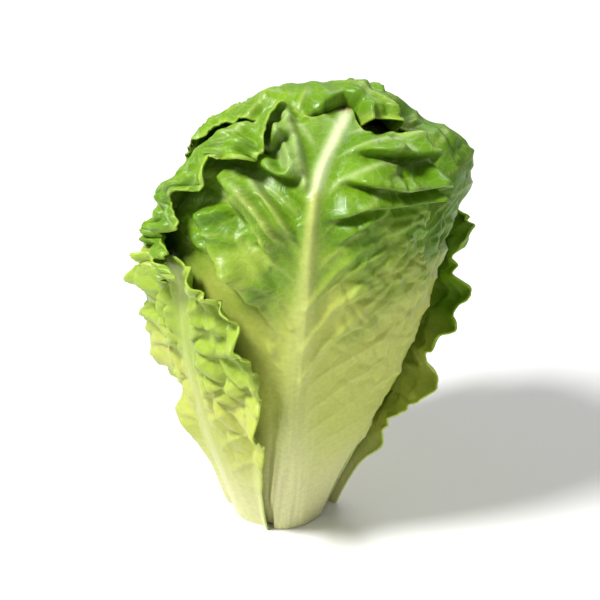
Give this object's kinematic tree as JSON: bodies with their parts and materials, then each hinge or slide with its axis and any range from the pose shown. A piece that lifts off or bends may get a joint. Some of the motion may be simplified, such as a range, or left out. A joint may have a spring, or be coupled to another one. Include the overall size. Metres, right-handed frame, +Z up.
{
  "type": "romaine lettuce head",
  "caption": "Small head of romaine lettuce with overlapping ruffled leaves on a cut butt, standing upright.",
  "frame": {"origin": "centre of the flat cut face of the butt, on the surface that the head stands on", "axes": "+Z up along the head, -Y towards the front leaf with the broad midrib, +X to the right seen from the front"},
  "size_m": [0.1148, 0.1081, 0.1586],
  "materials": {
    "stem": "moist cut plant tissue, cream white, browning slightly at the cut",
    "outer_leaf": "smooth waxy leaf, mid green with a pale midrib, semi-gloss",
    "inner_leaf": "smooth tender leaf, yellow-green with a pale midrib, semi-gloss"
  },
  "bodies": {
    "root": {"stem": "stem", "leaf_left_short": "outer_leaf", "leaf_back_short": "outer_leaf", "leaf_front": "outer_leaf", "leaf_right_back": "outer_leaf", "leaf_hood": "outer_leaf", "leaf_left": "outer_leaf", "leaf_right": "outer_leaf", "leaf_inner_back": "inner_leaf", "leaf_inner_front": "inner_leaf", "leaf_inner_left": "inner_leaf", "heart": "inner_leaf"}
  },
  "joints": []
}
